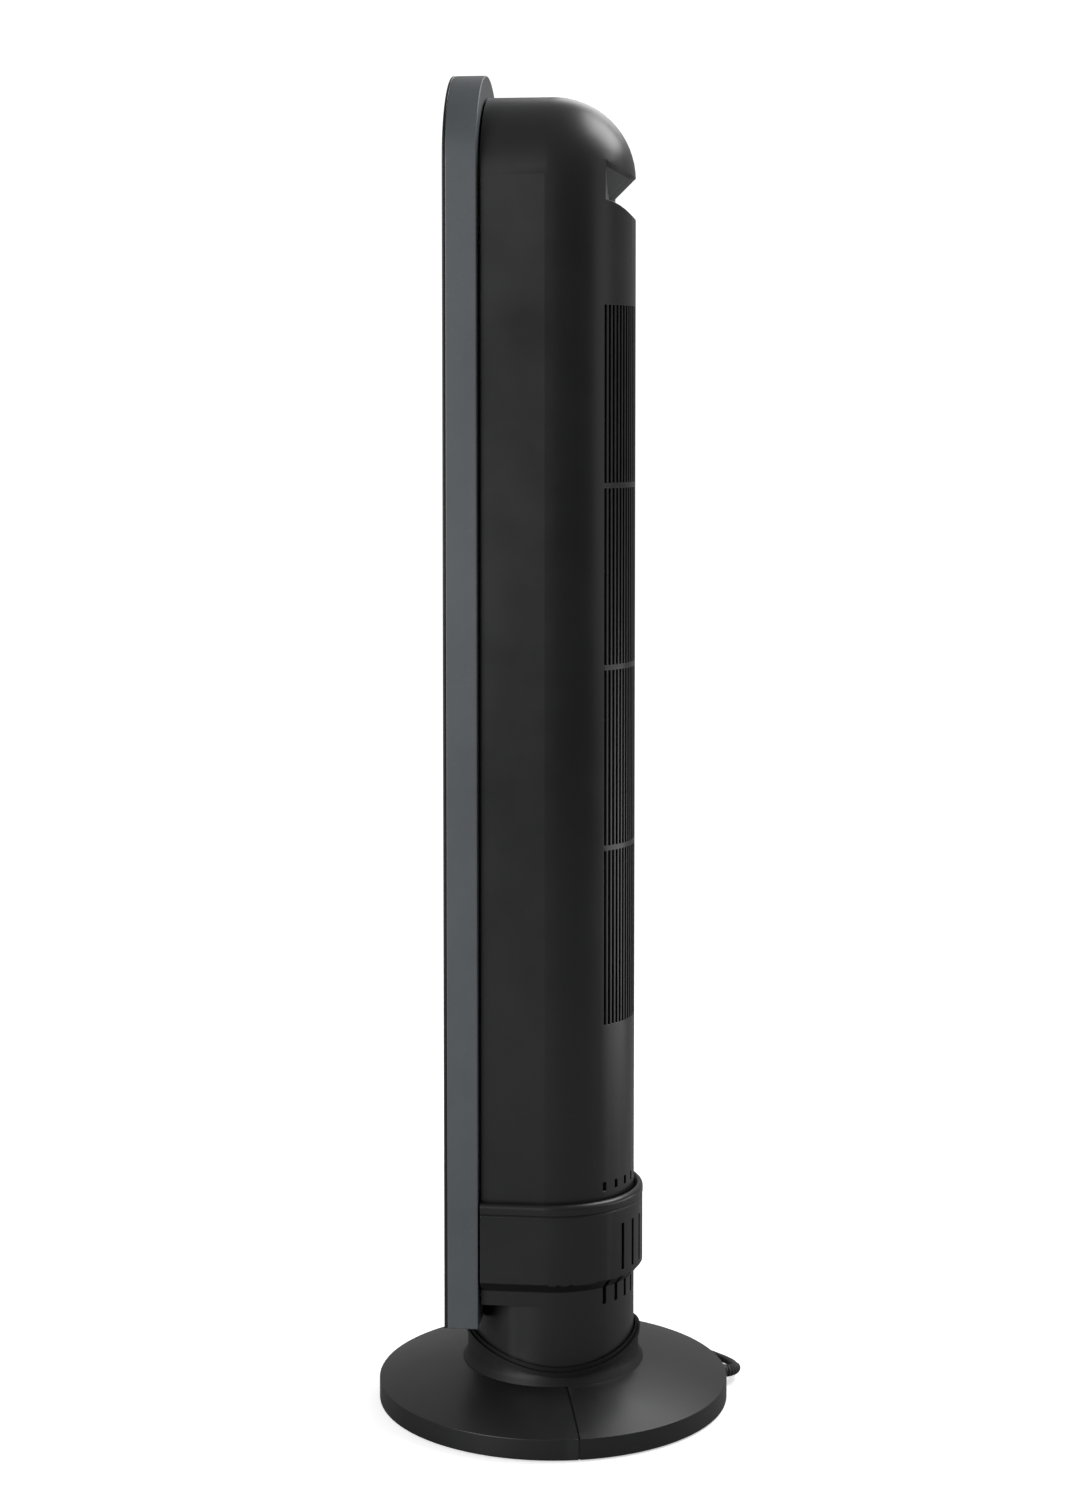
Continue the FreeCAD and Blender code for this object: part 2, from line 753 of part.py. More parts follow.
def front_fascia():
    """The front plate, with the outlet's window and the round hole of the control panel."""
    plate = frame_prism(0, "frame_front", "frame_front - fascia_depth")
    height = "grille_top - grille_bottom"
    window = box("2 * grille_half", 12, height, y="-frame_front - 5", z="grille_bottom")
    dial = cylinder("panel_radius", 12, z="panel_height", y="-frame_front + 6", axis=(1, 0, 0), tilt=90)
    return node(cut(plate, group([window, dial])), "front_fascia")


def front_grille():
    """A rim with upright slats and level bars."""
    width = "2 * grille_half - 0.4"
    height = "grille_top - grille_bottom - 0.4"
    low = "grille_bottom + 0.2"
    rim = cut(
        box(width, 5, height, y="-frame_front", z=low),
        box(f"{width} - 8", 9, f"{height} - 8", y="-frame_front - 2", z=f"{low} + 4"),
    )
    lip = cut(
        box(f"{width} + 8", 1.6, f"{height} + 8", y="-frame_front + fascia_depth", z=f"{low} - 4"),
        box(f"{width} - 8", 9, f"{height} - 8", y="-frame_front - 2", z=f"{low} + 4"),
    )
    slats = [box(1.8, 7, height, x=9.7 * k, y="-frame_front + 0.6", z=low) for k in range(-4, 5)]
    bars = []
    for k in range(1, 14):
        bars.append(box(width, 3, 2.4, y="-frame_front + 2", z=f"{low} + ({height}) * {k} / 14 - 1.2"))
    return node(fuse([rim, lip] + slats + bars), "front_grille")


def panel_spots():
    return [(x, number("panel_height") + z) for x, z in BUTTON_SPOTS.values()]


def control_panel():
    level = {"axis": (1, 0, 0), "tilt": 90}
    back = "-frame_front + fascia_depth"
    disc = cylinder("panel_radius - 0.2", "fascia_depth", y=back, z="panel_height", **level)
    lip = cylinder("panel_radius + 3", 2, y=f"{back} + 2", z="panel_height", **level)
    hole = "button_radius + button_gap"
    holes = [cylinder(hole, 12, x=x, z=z, y="-frame_front + 8", **level) for x, z in panel_spots()]
    view = box(50, 12, 20, y="-frame_front - 4", z="panel_height + 9")
    return node(cut(fuse([disc, lip]), group(holes + [view])), "control_panel")


def display_window():
    return node(box(50, 2, 20, y="-frame_front + 0.2", z="panel_height + 9"), "display_window")


def control_board():
    board = box(84, 1.6, 74, y="-frame_front + 12", z="panel_height - 38")
    return node(board, "control_board")


def button_switches():
    place_of_switch = "-frame_front + 7.3 + button_travel"
    made = [box(6, 3.5, 6, x=x, y=place_of_switch, z=z - 3) for x, z in panel_spots()]
    made.append(box(46, 4, 17, y="-frame_front + 8", z="panel_height + 10.5"))
    return node(group(made), "board_components")


def button(name, x, z):
    """A push button held behind the panel by a flange, with a stem towards its switch."""
    holder = body()
    steps = [
        ("button_radius", "frame_front - 4.6", 5.8),
        ("button_radius + 1.3", "frame_front - 5.8", 1.3),
        (2, "frame_front - 6.9", 1.4),
    ]
    for radius, lift, length in steps:
        drawn = sketch_on(holder, "XZ_Plane", lift)
        circle(drawn, radius, x, f"panel_height + {z}")
        padded(drawn, length)
    return node(holder, name)


# ---- fan motor and rotor ----

MOTOR_SCREWS = round_spots(4, 24, 45)


def fan_motor():
    can = turned(
        [
            ("shaft_radius + running_gap", "motor_bottom + 4"),
            ("motor_radius - 12", "motor_bottom"),
            ("motor_radius - 3", "motor_bottom + 3"),
            ("motor_radius", "motor_bottom + 10"),
            ("motor_radius", "motor_top - 10"),
            ("motor_radius - 3", "motor_top - 3"),
            ("motor_radius - 6", "motor_top"),
            ("shaft_radius + running_gap", "motor_top"),
        ]
    )
    place(can, 0, "rotor_place", 0)
    shanks = [cylinder(2, 12, z="motor_top - 10", x=x, y=y + number("rotor_place")) for x, y in MOTOR_SCREWS]
    return node(cut(can, group(shanks)), "fan_motor")


def inner_plate(height):
    """A level plate that fills the housing."""
    return tower_volume("body_radius - body_wall - 0.2", height, f"{height} + 3", "frame_back")


def motor_bracket():
    plate = inner_plate("bracket_height")
    lift = number("rotor_place")
    holes = [cylinder(2, 12, z="bracket_height - 4", x=x, y=y + lift) for x, y in MOTOR_SCREWS]
    holes.append(cylinder(12, 12, z="bracket_height - 4", y="rotor_place"))
    return node(cut(plate, group(holes)), "motor_bracket")


def motor_fixings():
    lift = number("rotor_place")
    top = number("bracket_height + 3")
    rings = []
    screws = []
    for x, y in MOTOR_SCREWS:
        ring = cylinder(6, 4, z="motor_top", x=x, y=y + lift)
        rings.append(cut(ring, cylinder(2, 8, z="motor_top - 2", x=x, y=y + lift)))
        screws.append(screw(x, y + lift, top, head=4, shank=2, length=14))
    node(group(rings), "motor_grommets")
    node(group(screws), "motor_screws")


def blade_outline():
    """One forward-curved blade, thin and of even thickness."""
    return [(33.2, -0.6), (40.6, 9.0, -15), (39.9, 9.8), (32.8, 0.5, 15)]


def wheel_segment(index):
    holder = body()
    low = f"rotor_bottom + {index} * segment_height"
    disc = sketch_on(holder, "XY_Plane", low)
    circle(disc, "rotor_radius")
    circle(disc, 12)
    padded(disc, "disc_thickness")
    blade = sketch_on(holder, "XY_Plane", low)
    outline(blade, blade_outline())
    polar(padded(blade, "segment_height"), BLADES)
    return node(place(holder, 0, "rotor_place", 0), f"wheel_segment_{index + 1}")


def rotor():
    for index in range(SEGMENTS):
        wheel_segment(index)
    top = f"rotor_bottom + {SEGMENTS} * segment_height"
    disc = f"{top} + disc_thickness"
    cap = stepped("pin_radius", [("rotor_radius", top, disc), (9, disc, f"{top} + 7")])
    node(place(cap, 0, "rotor_place", 0), "wheel_end_cap")
    low = "rotor_bottom - 4"
    high = "rotor_bottom + 16"
    hub = stepped("shaft_radius", [(20, low, "rotor_bottom"), (12, "rotor_bottom", high)])
    node(place(hub, 0, "rotor_place", 0), "drive_hub")
    shaft = cylinder("shaft_radius", f"{high} - motor_bottom - 6", z="motor_bottom + 6", y="rotor_place")
    node(shaft, "rotor_shaft")
    pin = cylinder("pin_radius", f"bridge_height + 6 - ({top})", z=top, y="rotor_place")
    node(pin, "rotor_pin")


def bearing_bridge():
    plate = inner_plate("bridge_height")
    cupping = cylinder(12, 8, z="bridge_height", y="rotor_place")
    hole = cylinder(9, 14, z="bridge_height - 2", y="rotor_place")
    node(cut(fuse([plate, cupping]), hole), "bearing_bridge")
    bush = stepped("pin_radius + running_gap", [(9, "bridge_height", "bridge_height + 8")])
    node(place(bush, 0, "rotor_place", 0), "top_bearing")


def air_guides():
    """The curved scroll wall on one side of the rotor, and the tongue on the other."""
    height = "bridge_height - bracket_height - 3"
    scroll = body()
    drawn = sketch_on(scroll, "XY_Plane", "bracket_height + 3")
    inside = [(-38, 38.5), (-50.5, -8, 49), (-51, -68)]
    outline(drawn, inside + [(-52.6, -68), (-52.1, -8), (-39.2, 39.6, -50.6)])
    padded(drawn, height)
    node(scroll, "scroll_wall")
    tongue = body()
    drawn = sketch_on(tongue, "XY_Plane", "bracket_height + 3")
    outline(drawn, [(44, -24), (47, -22.5, 1.9), (52.4, -68), (50.8, -68)])
    padded(drawn, height)
    node(tongue, "air_tongue")


# ---- swing drive ----

PINION_PLACE = "gear_module * (gear_teeth + pinion_teeth) / 2 + 0.1"


def swing_drive():
    node(gear(int(number("gear_teeth")), "spigot_radius", tooth_phase()), "swing_gear")
    pinion = gear(int(number("pinion_teeth")), 0, 0)
    place(pinion, 0, f"-({PINION_PLACE})", 0)
    stem = cylinder("pin_radius", 12, z="gear_height + gear_thickness", y=f"-({PINION_PLACE})")
    node(fuse([pinion, stem]), "swing_pinion")


def tooth_phase():
    """The fixed gear has a tooth gap towards the pinion, whose own tooth points back at it."""
    teeth = int(number("gear_teeth"))
    pinion = int(number("pinion_teeth"))
    toward = -0.25 * teeth
    own = 0.25 * pinion
    gap = 0.5 if abs(own - round(own)) < 0.01 else 0.0
    return (toward + gap) % 1.0


def swing_motor():
    y = f"-({PINION_PLACE})"
    can = cylinder("swing_motor_radius", 17, z="swing_motor_bottom", y=y)
    bore = cylinder("pin_radius + running_gap", 10, z="swing_motor_bottom - 2", y=y)
    node(cut(can, bore), "swing_motor")
    low = "floor_height + 3"
    tall = f"swing_motor_bottom - 1.6 - ({low})"
    plate = box(66, 40, 1.6, y=f"{y} - 20", z="swing_motor_bottom - 1.6")
    legs = [box(3, 34, tall, x=side * 31.5, y=f"{y} - 14", z=low) for side in (-1, 1)]
    hole = cylinder(7, 8, z="swing_motor_bottom - 4", y=y)
    node(cut(fuse([plate] + legs), hole), "swing_bracket")


# ---- the whole fan ----

turn = number("base_turn")
base_half("base_rear_half", turn, True)
base_half("base_front_half", turn + 180, False)
node(base_collar(), "base_collar", turn)
base_hub(turn)
rubber_feet(turn)
base_screws(turn)
swivel_ring()
strain_relief()
power_cord()
cord_coil()
cord_tail()
cord_tie()
plug()
lower_housing()
vent_band()
rear_housing()
handle_cup()
front_frame()
front_fascia()
front_grille()
control_panel()
display_window()
control_board()
button_switches()
for label, (across, up) in BUTTON_SPOTS.items():
    button(label, across, up)
fan_motor()
motor_bracket()
motor_fixings()
rotor()
bearing_bridge()
air_guides()
swing_drive()
swing_motor()
doc.recompute()

failed = [item.Label for item in doc.Objects if {"Invalid", "Error"} & set(item.State)]
failed += [item.Label for item in nodes if item.Shape.isNull() or not item.Shape.isValid()]
if failed:
    raise SystemExit(f"failed objects: {failed}")
os.makedirs("parts", exist_ok=True)
for item in nodes:
    item.Shape.exportStep(f"parts/{item.Label}.step")
print(len(nodes), "nodes")
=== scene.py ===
import json
import math

import bmesh
import bpy
from mathutils import Matrix, Vector


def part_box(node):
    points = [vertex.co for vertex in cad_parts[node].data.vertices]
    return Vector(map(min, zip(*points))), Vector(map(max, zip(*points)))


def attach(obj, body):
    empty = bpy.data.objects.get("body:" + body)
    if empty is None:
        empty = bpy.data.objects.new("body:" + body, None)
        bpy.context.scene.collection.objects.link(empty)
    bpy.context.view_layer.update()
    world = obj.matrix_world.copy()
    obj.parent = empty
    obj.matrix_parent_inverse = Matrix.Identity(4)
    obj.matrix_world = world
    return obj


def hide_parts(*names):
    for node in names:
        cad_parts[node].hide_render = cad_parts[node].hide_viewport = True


# The looks of a tower fan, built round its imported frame. Metres; the tower faces -Y and +Z is up.

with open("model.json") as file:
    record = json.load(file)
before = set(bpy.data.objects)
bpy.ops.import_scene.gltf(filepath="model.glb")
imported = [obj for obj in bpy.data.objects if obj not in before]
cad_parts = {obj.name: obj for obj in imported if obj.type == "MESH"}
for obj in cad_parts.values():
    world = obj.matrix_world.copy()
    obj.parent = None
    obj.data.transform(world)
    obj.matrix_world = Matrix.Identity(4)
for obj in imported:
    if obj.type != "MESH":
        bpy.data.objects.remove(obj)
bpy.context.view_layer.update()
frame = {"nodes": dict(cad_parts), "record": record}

MM = 0.001


def corners(node):
    """A node's lowest and highest corner."""
    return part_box(node)


# ---- places taken from the frame ----

FASCIA = corners("front_fascia")
DISPLAY = corners("display_window")
FRONT = FASCIA[0].y
KEYS = ("power", "speed", "timer", "swing")
BASE_RADIUS = 134.7 * MM
BASE_TURN = math.radians(14.2)
CORD_RADIUS = 3 * MM
BOOT_HEIGHT = 11 * MM
BOOT_DROP = 2.4 * MM
BOOT_BEND = 14 * MM
BOOT_ANGLE = math.radians(84)


# ---- camera ----

def aim_camera():
    """Level with the fan's upper half, looking at its side from a little behind."""
    # shift_y frames the whole fan without tilting the view further
    data = bpy.data.cameras.new("side_camera")
    data.lens = 62.4
    data.sensor_width = 36
    data.shift_y = -0.1163
    data.clip_start = 0.05
    data.clip_end = 60
    camera = bpy.data.objects.new("side_camera", data)
    bpy.context.scene.collection.objects.link(camera)
    camera.location = (1.970, 0.209, 0.763)
    turn = math.radians(6.23)
    tilt = math.radians(3.61)
    away = Vector((math.cos(turn) * math.cos(tilt), math.sin(turn) * math.cos(tilt), math.sin(tilt)))
    camera.rotation_mode = "QUATERNION"
    camera.rotation_quaternion = away.to_track_quat("Z", "Y")
    bpy.context.scene.camera = camera


# ---- mesh helpers ----

def finished(piece, material, body, replaced=()):
    """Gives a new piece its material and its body."""
    piece.data.materials.append(material)
    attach(piece, body)
    if replaced:
        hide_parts(*replaced)
    return piece


def piece_from(name, mesh, smooth=True):
    """An object of this name from a bmesh, which is freed."""
    bmesh.ops.remove_doubles(mesh, verts=mesh.verts, dist=1e-6)
    bmesh.ops.recalc_face_normals(mesh, faces=mesh.faces)
    data = bpy.data.meshes.new(name)
    mesh.to_mesh(data)
    mesh.free()
    piece = bpy.data.objects.new(name, data)
    bpy.context.scene.collection.objects.link(piece)
    for face in data.polygons:
        face.use_smooth = smooth
    return piece


def soft_edges(piece, width, segments=3, angle=40):
    """Rounds the sharp edges of a piece with modifiers; its own mesh stays as it is."""
    weld = piece.modifiers.new("weld", "WELD")
    weld.merge_threshold = 1e-6
    bevel = piece.modifiers.new("round", "BEVEL")
    bevel.width = width
    bevel.segments = segments
    bevel.limit_method = "ANGLE"
    bevel.angle_limit = math.radians(angle)
    bevel.miter_outer = "MITER_ARC"
    bevel.use_clamp_overlap = True
    normals = piece.modifiers.new("normals", "WEIGHTED_NORMAL")
    normals.keep_sharp = True
    return piece


def ring_of(mesh, points):
    return [mesh.verts.new(point) for point in points]


def bridge(mesh, first, second):
    count = len(first)
    for k in range(count):
        after = (k + 1) % count
        mesh.faces.new((first[k], first[after], second[after], second[k]))


def loft(sections, closed_ends=True):
    """A skin over sections that hold the same number of points."""
    mesh = bmesh.new()
    rings = [ring_of(mesh, section) for section in sections]
    for first, second in zip(rings, rings[1:]):
        bridge(mesh, first, second)
    if closed_ends:
        mesh.faces.new(rings[0][::-1])
        mesh.faces.new(rings[-1])
    return mesh


def superellipse(half_width, half_height, power, count=48):
    """Points of a rounded box; a higher power is squarer."""
    points = []
    for k in range(count):
        angle = 2 * math.pi * k / count
        across = abs(math.cos(angle)) ** (2 / power) * math.copysign(half_width, math.cos(angle))
        up = abs(math.sin(angle)) ** (2 / power) * math.copysign(half_height, math.sin(angle))
        points.append((across, up))
    return points


def lathe_into(mesh, profile, place, count=64):
    """Turns (radius, distance) points about place's Z axis into the mesh."""
    rings = []
    for radius, along in profile:
        ring = []
        for k in range(count):
            angle = 2 * math.pi * k / count
            ring.append(place @ Vector((radius * math.cos(angle), radius * math.sin(angle), along)))
        rings.append(ring_of(mesh, ring))
    for first, second in zip(rings, rings[1:]):
        bridge(mesh, first, second)
    mesh.faces.new(rings[0][::-1])
    mesh.faces.new(rings[-1])


# ---- cord ----

ROUTE = [
    (-66.5, 137.8, 5),
    (-87.6, 120.5, 3.2),
    (-111.8, 93.8, 3),
    (-134.3, 59.8, 3.1),
    (-149.7, 26.4, 3),
    (-159.4, -12, 3.1),
]
TAIL = [(-200, -64, 13.4), (-215, -64.3, 12.6), (-230, -63.8, 9.2), (-243, -64.6, 8)]
COIL_CENTRE = Vector((-198, -27, 0)) * MM
COIL_TURNS = [(37, 3), (31, 3), (28, 8.2), (34, 8.2), (40, 8.2), (31, 13.4), (37, 13.4)]
TURN_POINTS = 16
SLIDE_SHARE = 0.22
HUMP = 1.3


def boot_line(share):
    """The cord boot's middle line: out of the rim, bending round towards the base's far side."""
    turn = math.radians(90) + BASE_TURN
    out = Vector((math.cos(turn), math.sin(turn), 0))
    along = Vector((-math.sin(turn), math.cos(turn), 0))
    start = out * (BASE_RADIUS - 1 * MM) + Vector((0, 0, BOOT_HEIGHT))
    angle = BOOT_ANGLE * share
    drop = Vector((0, 0, -BOOT_DROP * share))
    return start + out * (BOOT_BEND * math.sin(angle)) + along * (BOOT_BEND * (1 - math.cos(angle))) + drop


def coil_points():
    """Turns that lie beside and on each other; each slides to the next place near its end."""
    grow = 1 / math.cos(math.pi / TURN_POINTS)
    points = []
    for turn, (radius, height) in enumerate(COIL_TURNS):
        following = COIL_TURNS[min(turn + 1, len(COIL_TURNS) - 1)]
        for k in range(TURN_POINTS):
            share = k / TURN_POINTS
            slide = max(0.0, (share - 1 + SLIDE_SHARE) / SLIDE_SHARE)
            ease = slide * slide * (3 - 2 * slide)
            lift = HUMP * math.sin(math.pi * slide) if turn >= 2 else 0
            rise = min(1.0, ease * 1.6) if following[1] > height and turn >= 2 else ease
            here = radius + (following[0] - radius) * ease
            up = height + (following[1] - height) * rise + lift
            angle = -2 * math.pi * share
            points.append((here * grow, up, angle))
    quarter = TURN_POINTS // 4
    last_radius, last_height = COIL_TURNS[-1]
    for k in range(quarter):
        points.append((last_radius * grow, last_height, -2 * math.pi * k / TURN_POINTS))
    made = []
    for radius, height, angle in points:
        offset = Vector((radius * math.cos(angle), radius * math.sin(angle), height))
        made.append(COIL_CENTRE + offset * MM)
    return made


def make_cord(material):
    """The whole lead, from the boot's tip to the plug, as one smooth line."""
    exit_point = boot_line(1)
    route = [exit_point] + [Vector(point) * MM for point in ROUTE]
    points = route + coil_points() + [Vector(point) * MM for point in TAIL]
    curve = bpy.data.curves.new("power_lead", "CURVE")
    curve.dimensions = "3D"
    spline = curve.splines.new("NURBS")
    spline.points.add(len(points) - 1)
    for spot, point in zip(spline.points, points):
        spot.co = (*point, 1)
    spline.order_u = 3
    spline.use_endpoint_u = True
    spline.resolution_u = 6
    curve.bevel_depth = CORD_RADIUS
    curve.bevel_resolution = 5
    curve.use_fill_caps = True
    lead = bpy.data.objects.new("power_lead", curve)
    bpy.context.scene.collection.objects.link(lead)
    finished(lead, material, "base", ["power_cord", "cord_coil", "cord_tail"])


def swept_rings(radii, count=32):
    """Rings round the boot's line, one for each (share, radius)."""
    rings = []
    for share, radius in radii:
        middle = boot_line(share)
        ahead = (boot_line(share + 0.01) - boot_line(share - 0.01)).normalized()
        side = ahead.cross(Vector((0, 0, 1))).normalized()
        up = side.cross(ahead)
        ring = []
        for k in range(count):
            angle = 2 * math.pi * k / count
            ring.append(middle + side * (radius * math.cos(angle)) + up * (radius * math.sin(angle)))
        rings.append(ring)
    return rings


def make_boot(material):
    """A tapered strain relief with ribs, curved along the boot's line."""
    radii = [(-0.3, 4.9), (0.03, 4.9), (0.07, 5.0)]
    ribs = 7
    for k in range(ribs):
        start = 0.1 + 0.115 * k
        outer = 4.85 - 0.17 * k
        inner = outer - 0.9
        radii += [(start, outer), (start + 0.055, outer - 0.05), (start + 0.065, inner)]
        radii += [(start + 0.1, inner - 0.05), (start + 0.11, outer - 0.15)]
    radii += [(0.92, 3.7), (0.985, 3.6), (1.0, 3.3), (1.0, 3.02)]
    sections = swept_rings([(share, radius * MM) for share, radius in radii])
    boot = piece_from("cord_boot", loft(sections))
    return finished(boot, material, "base", ["strain_relief"])


def make_plug(material):
    """A moulded plug: a waisted grip with ribs and a tapered sleeve towards the cord."""
    low, high = corners("plug_body")
    middle_y = TAIL[-1][1] * MM
    middle_z = (low.z + high.z) / 2
    length = high.x - low.x
    half_wide = (high.y - low.y) / 2
    half_tall = (high.z - low.z) / 2
    shape = [(0, 0.93, 0.9, 5), (0.02, 0.99, 0.98, 5), (0.2, 1, 1, 5), (0.3, 0.95, 0.97, 4.5)]
    for k in range(5):
        start = 0.33 + 0.066 * k
        swell = 0.9 - 0.055 * k
        shape += [(start, swell, swell, 4), (start + 0.02, swell - 0.06, swell - 0.07, 4)]
        shape += [(start + 0.045, swell - 0.06, swell - 0.07, 4), (start + 0.06, swell - 0.01, swell, 4)]
    shape += [(0.7, 0.6, 0.62, 3), (0.76, 0.45, 0.5, 2.5), (0.86, 0.38, 0.46, 2), (0.98, 0.33, 0.43, 2)]
    shape += [(1, 0.3, 0.4, 2)]
    sections = []
    for share, wide, tall, power in shape:
        ring = superellipse(half_wide * wide, half_tall * tall, power)
        sections.append([(low.x + length * share, middle_y + y, middle_z + z) for y, z in ring])
    plug = piece_from("plug_grip", loft(sections))
    return finished(plug, material, "base", ["plug_body"])


def make_tie(material):
    """A hook-and-loop strap over the bundle, with its free end lapped on top."""
    low, high = corners("cord_tie")
    middle = (low + high) / 2
    half_long = 4.5 * MM
    bundle_height = 4
    lap_gap = 1.05
    inner = [(9.9, 0.2), (10.1, 8), (9, 13.2), (6, 16.6)]
    outline = inner + [(-across, up) for across, up in inner[::-1]]
    thick = 1.0
    mesh = bmesh.new()
    for lap in range(2):
        points = outline if lap == 0 else outline[1:5]
        grown = thick * lap * lap_gap
        before = []
        for across, up in points:
            way = Vector((across, up - bundle_height, 0)).normalized()
            close = Vector((across, up, 0)) + way * grown
            far = close + way * thick
            before.append((close, far))
        rings = []
        for close, far in before:
            ring = []
            for x, spot in ((-1, close), (1, close), (1, far), (-1, far)):
                ring.append((middle.x + x * half_long, middle.y + spot.x * MM, spot.y * MM))
            rings.append(ring_of(mesh, ring))
        for first, second in zip(rings, rings[1:]):
            bridge(mesh, first, second)
        mesh.faces.new(rings[0][::-1])
        mesh.faces.new(rings[-1])
    tie = piece_from("cord_strap", mesh)
    soft_edges(tie, 0.25 * MM, 2)
    return finished(tie, material, "base", ["cord_tie"])


# ---- materials ----

def new_material(name):
    material = bpy.data.materials.new(name)
    material.use_nodes = True
    tree = material.node_tree
    return material, tree, tree.nodes["Principled BSDF"]


def add(tree, kind, inputs=(), **settings):
    node = tree.nodes.new(kind)
    for key, value in settings.items():
        setattr(node, key, value)
    for key, value in dict(inputs).items():
        if isinstance(value, bpy.types.NodeSocket):
            tree.links.new(value, node.inputs[key])
        else:
            node.inputs[key].default_value = value
    return node


def object_place(tree):
    return add(tree, "ShaderNodeTexCoord").outputs["Object"]


def noise(tree, place, scale, detail=3, rough=0.5):
    inputs = {"Vector": place, "Scale": scale, "Detail": detail, "Roughness": rough}
    return add(tree, "ShaderNodeTexNoise", inputs).outputs["Fac"]


def ramp(tree, factor, stops):
    """A colour ramp from (place, grey or colour) stops."""
    node = add(tree, "ShaderNodeValToRGB", {"Fac": factor})
    while len(node.color_ramp.elements) < len(stops):
        node.color_ramp.elements.new(0.5)
    for element, (place, colour) in zip(node.color_ramp.elements, stops):
        element.position = place
        element.color = (*colour, 1) if hasattr(colour, "__len__") else (colour, colour, colour, 1)
    return node.outputs["Color"]


def blend_colour(tree, factor, first, second):
    node = add(tree, "ShaderNodeMix", data_type="RGBA")
    tree.links.new(factor, node.inputs["Factor"])
    for key, value in (("A", first), ("B", second)):
        socket = next(item for item in node.inputs if item.name == key and item.type == "RGBA")
        if isinstance(value, bpy.types.NodeSocket):
            tree.links.new(value, socket)
        else:
            socket.default_value = (*value, 1)
    return next(item for item in node.outputs if item.type == "RGBA")


def map_range(tree, value, low, high, to_low, to_high):
    inputs = {"Value": value, "From Min": low, "From Max": high, "To Min": to_low, "To Max": to_high}
    return add(tree, "ShaderNodeMapRange", inputs).outputs["Result"]


def bump(tree, shader, height, depth, strength=1.0):
    made = add(tree, "ShaderNodeBump", {"Height": height, "Distance": depth, "Strength": strength})
    tree.links.new(made.outputs["Normal"], shader.inputs["Normal"])


def shade(colour, amount):
    return tuple(min(1.0, part * amount) for part in colour)


def moulded(name, colour, roughness, grain=0.9, depth=0.012, spread=0.05, wear=1.6, **sockets):
    """Moulded plastic: spark-eroded grain, faint flow marks, rubbed edges and a little dust.

    grain and depth are the texture's size and height in millimetres; wear is how much lighter
    rubbed edges are.
    """
    material, tree, shader = new_material(name)
    place = object_place(tree)
    flow = noise(tree, place, 9, 4, 0.6)
    speck = noise(tree, place, 260, 2)
    base = ramp(tree, flow, [(0.3, shade(colour, 0.88)), (0.7, shade(colour, 1.12))])
    dusty = ramp(tree, speck, [(0.62, 0.0), (0.8, 0.12)])
    base = blend_colour(tree, dusty, base, shade(colour, 2.2))
    edge = add(tree, "ShaderNodeNewGeometry").outputs["Pointiness"]
    rubbed = ramp(tree, edge, [(0.53, 0.0), (0.62, 0.5)])
    base = blend_colour(tree, rubbed, base, shade(colour, wear))
    tree.links.new(base, shader.inputs["Base Color"])
    rough = map_range(tree, flow, 0.3, 0.7, roughness - spread, roughness + spread)
    tree.links.new(rough, shader.inputs["Roughness"])
    texture = noise(tree, place, 1 / (grain * MM), 2, 0.6)
    bump(tree, shader, texture, depth * MM)
    for key, value in sockets.items():
        shader.inputs[key.replace("_", " ")].default_value = value
    return material


def gloss_black(name):
    """Polished panel plastic with hairline scratches."""
    material, tree, shader = new_material(name)
    place = object_place(tree)
    stretched = add(tree, "ShaderNodeMapping", {"Vector": place, "Scale": (30, 30, 900)})
    hairs = noise(tree, stretched.outputs["Vector"], 1.0, 2)
    smears = noise(tree, place, 35, 4, 0.65)
    tint = ramp(tree, smears, [(0.3, 0.006), (0.75, 0.011)])
    tree.links.new(tint, shader.inputs["Base Color"])
    rough = map_range(tree, smears, 0.35, 0.7, 0.10, 0.24)
    tree.links.new(rough, shader.inputs["Roughness"])
    bump(tree, shader, hairs, 0.002 * MM, 0.6)
    return material


def smoked_window(name):
    material, tree, shader = new_material(name)
    place = object_place(tree)
    smears = noise(tree, place, 60, 4, 0.6)
    tint = ramp(tree, smears, [(0.3, (0.004, 0.005, 0.007)), (0.7, (0.008, 0.010, 0.013))])
    tree.links.new(tint, shader.inputs["Base Color"])
    rough = map_range(tree, smears, 0.3, 0.7, 0.04, 0.10)
    tree.links.new(rough, shader.inputs["Roughness"])
    bump(tree, shader, noise(tree, place, 400, 1), 0.001 * MM, 0.5)
    return material


def metal(name, colour, roughness, streak=(40, 40, 900), depth=0.004):
    """Drawn or plated metal with fine streaks and stains."""
    material, tree, shader = new_material(name)
    place = object_place(tree)
    stretched = add(tree, "ShaderNodeMapping", {"Vector": place, "Scale": streak})
    streaks = noise(tree, stretched.outputs["Vector"], 1.0, 3)
    stains = noise(tree, place, 55, 4, 0.6)
    base = ramp(tree, stains, [(0.3, shade(colour, 0.8)), (0.7, shade(colour, 1.1))])
    tree.links.new(base, shader.inputs["Base Color"])
    rough = map_range(tree, streaks, 0.3, 0.7, roughness - 0.08, roughness + 0.1)
    tree.links.new(rough, shader.inputs["Roughness"])
    bump(tree, shader, streaks, depth * MM, 0.8)
    shader.inputs["Metallic"].default_value = 1.0
    return material


